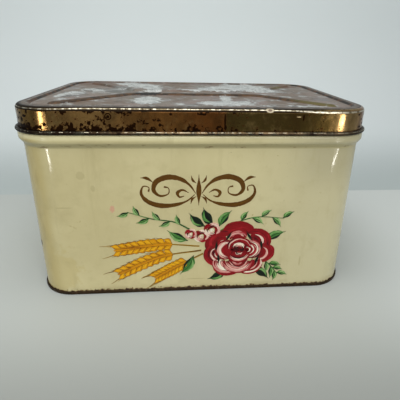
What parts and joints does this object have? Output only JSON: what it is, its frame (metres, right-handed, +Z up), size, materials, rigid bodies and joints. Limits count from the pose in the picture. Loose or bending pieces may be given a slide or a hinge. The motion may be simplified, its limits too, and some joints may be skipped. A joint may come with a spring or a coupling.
{
  "type": "bread box",
  "caption": "Rectangular tinplate bread box with rounded corners, a seamed base and a deep lift-off lid with a wired edge and pressed ribs.",
  "frame": {"origin": "on the table, at the middle of the base", "axes": "+X to the right along the length, +Y to the back, +Z up; the decorated front faces -Y"},
  "size_m": [0.3472, 0.2402, 0.1996],
  "materials": {
    "body_enamel": "cream stoved enamel on tinplate, worn, with small chips and rust spots",
    "base_tinplate": "bare tinplate, darkened and rusted along the seam",
    "lid_lacquer": "gold lacquer on tinplate, worn to bare tin on top, with dark rust spots",
    "wire": "plain steel wire"
  },
  "bodies": {
    "body": {"front_wrap": "body_enamel", "back_wrap": "body_enamel", "base_panel": "base_tinplate"},
    "lid": {"lid": "lid_lacquer", "lid_wire": "wire"}
  },
  "joints": [
    {"name": "lid_lift", "type": "slide", "parent": "body", "child": "lid", "axis": [0, 0, 1], "range_m": [0, 0.25]}
  ]
}
